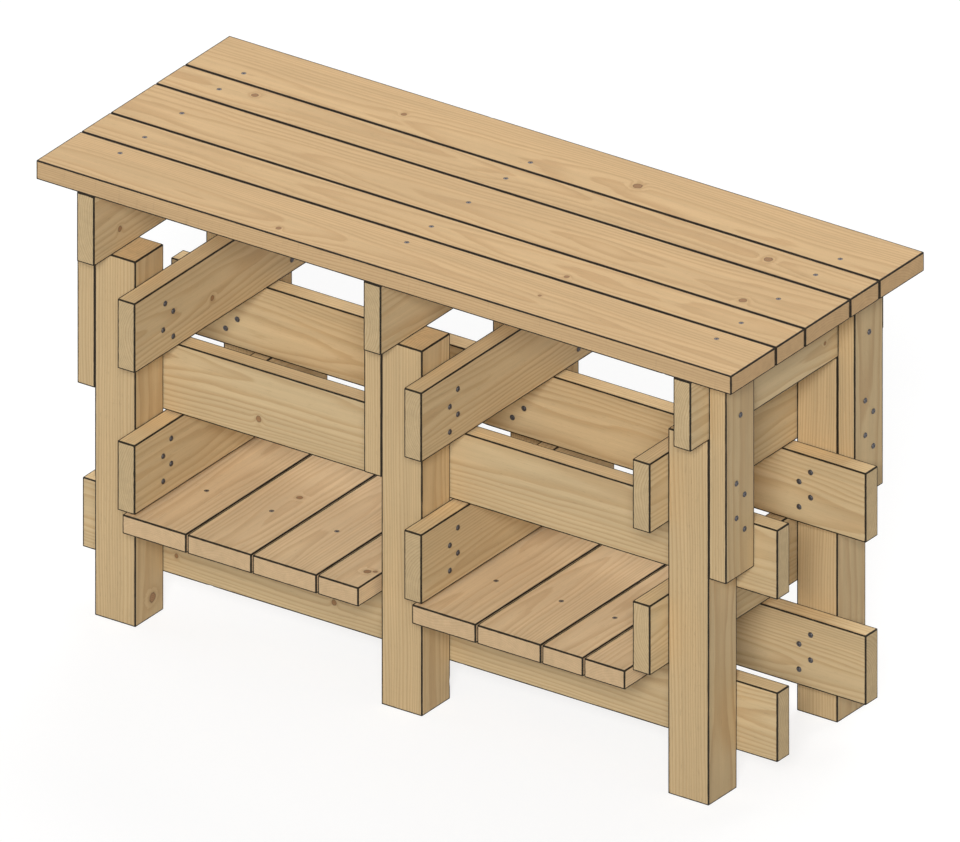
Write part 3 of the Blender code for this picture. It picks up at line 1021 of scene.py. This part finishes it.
def add_camera():
    """A camera in parallel projection, at the photograph's angle and with its frame."""
    lens = bpy.data.cameras.new("camera")
    lens.type = "ORTHO"
    lens.ortho_scale = VIEW_WIDTH
    lens.clip_end = VIEW_END
    camera = bpy.data.objects.new("camera", lens)
    back = direction(VIEW_AZIMUTH, VIEW_ELEVATION)
    camera.location = VIEW_AIM + back * VIEW_DISTANCE
    camera.rotation_euler = back.to_track_quat("Z", "Y").to_euler()
    bpy.context.scene.collection.objects.link(camera)
    bpy.context.scene.camera = camera


def add_sun(name, azimuth, elevation, strength, softness, in_gloss=True):
    """A soft distant lamp, which shows in gloss or doesn't."""
    lamp = bpy.data.lights.new(name, "SUN")
    lamp.energy = strength
    lamp.angle = softness
    made = bpy.data.objects.new(name, lamp)
    made.rotation_euler = direction(azimuth, elevation).to_track_quat("Z", "Y").to_euler()
    made.visible_glossy = in_gloss
    bpy.context.scene.collection.objects.link(made)


def seen_directly(tree):
    """One for rays from the camera, or seen in gloss or through glass, and zero for the rest."""
    path = tree.nodes.new("ShaderNodeLightPath")
    total = path.outputs["Is Camera Ray"]
    for name in ("Is Glossy Ray", "Is Transmission Ray"):
        adding = tree.nodes.new("ShaderNodeMath")
        adding.operation = "MAXIMUM"
        tree.links.new(total, adding.inputs[0])
        tree.links.new(path.outputs[name], adding.inputs[1])
        total = adding.outputs[0]
    return total


def seen_or_not(tree, plain, seen):
    """A value for most rays and another for those that seen_directly picks."""
    made = tree.nodes.new("ShaderNodeMapRange")
    made.inputs["To Min"].default_value = plain
    made.inputs["To Max"].default_value = seen
    tree.links.new(seen_directly(tree), made.inputs["Value"])
    return made.outputs[0]


def add_world():
    """A white studio that shows as white and lights the bench faintly."""
    world = bpy.data.worlds.new("studio")
    bpy.context.scene.world = world
    world.use_nodes = True
    tree = world.node_tree
    background = tree.nodes["Background"]
    background.inputs["Color"].default_value = WHITE
    tree.links.new(seen_or_not(tree, AMBIENT, 1.0), background.inputs["Strength"])


def floor_material():
    """A pale matte floor that glows to the eye, so that it shows white with a faint shadow."""
    made = bpy.data.materials.new("floor_paint")
    made.use_nodes = True
    tree = made.node_tree
    tree.nodes.clear()
    matte = tree.nodes.new("ShaderNodeBsdfDiffuse")
    tree.links.new(seen_or_not(tree, FLOOR_COLOUR, FLOOR_SEEN_COLOUR), matte.inputs["Color"])
    glow = tree.nodes.new("ShaderNodeEmission")
    tree.links.new(seen_or_not(tree, 0.0, FLOOR_GLOW), glow.inputs["Strength"])
    both = tree.nodes.new("ShaderNodeAddShader")
    tree.links.new(matte.outputs[0], both.inputs[0])
    tree.links.new(glow.outputs[0], both.inputs[1])
    output = tree.nodes.new("ShaderNodeOutputMaterial")
    tree.links.new(both.outputs[0], output.inputs["Surface"])
    return made


def add_floor():
    """A round floor at the height of the feet."""
    shape = bmesh.new()
    bmesh.ops.create_circle(shape, cap_ends=True, radius=FLOOR_REACH, segments=FLOOR_SIDES)
    mesh = bpy.data.meshes.new("floor")
    shape.to_mesh(mesh)
    shape.free()
    mesh.materials.append(floor_material())
    floor = bpy.data.objects.new("floor", mesh)
    floor.location.z = CAD_BOX[0].z
    bpy.context.scene.collection.objects.link(floor)


add_camera()
add_world()
add_floor()
add_sun("key", KEY_AZIMUTH, KEY_ELEVATION, KEY_STRENGTH, KEY_SOFTNESS)
add_sun("back", BACK_AZIMUTH, BACK_ELEVATION, BACK_STRENGTH, BACK_SOFTNESS, in_gloss=False)
add_sun("left", LEFT_AZIMUTH, LEFT_ELEVATION, LEFT_STRENGTH, LEFT_SOFTNESS, in_gloss=False)

worktop_wood = wood_material(
    "worktop_softwood", TOP_EARLY, TOP_LATE,
    ring_width=0.0046, ring_depth=0.50, end_depth=0.35, end_grain_and_painted_light=-0.10, scuffs=1.0,
)
frame_wood = wood_material(
    "frame_softwood", FRAME_EARLY, FRAME_LATE,
    ring_width=0.0050, ring_depth=0.55, end_depth=0.05, end_grain_and_painted_light=-0.10, scuffs=0.3,
)
# A darker copy of the frame's wood, for the legs and splices: painted shade where the key light falls
leg_wood = wood_material(
    "leg_softwood", LEG_EARLY, LEG_LATE,
    # Its sawn ends are lighter: painted light on the leg tops that the worktop shades
    ring_width=0.0056, ring_depth=0.55, end_depth=0.05, end_grain_and_painted_light=0.30, scuffs=0.4,
)
# Paler than the worktop's wood: painted light against the worktop's shade over the shelves
shelf_wood = wood_material(
    "shelf_softwood", SHELF_EARLY, SHELF_LATE,
    ring_width=0.0043, ring_depth=0.50, end_depth=0.50, end_grain_and_painted_light=-0.10, scuffs=0.8,
)
dark_steel = steel_material()

add_top(worktop_wood, dark_steel)
add_frames(leg_wood, frame_wood, dark_steel)
add_long_rails(frame_wood, dark_steel)
add_shelves(shelf_wood, dark_steel)

bpy.context.scene.view_settings.view_transform = "Standard"
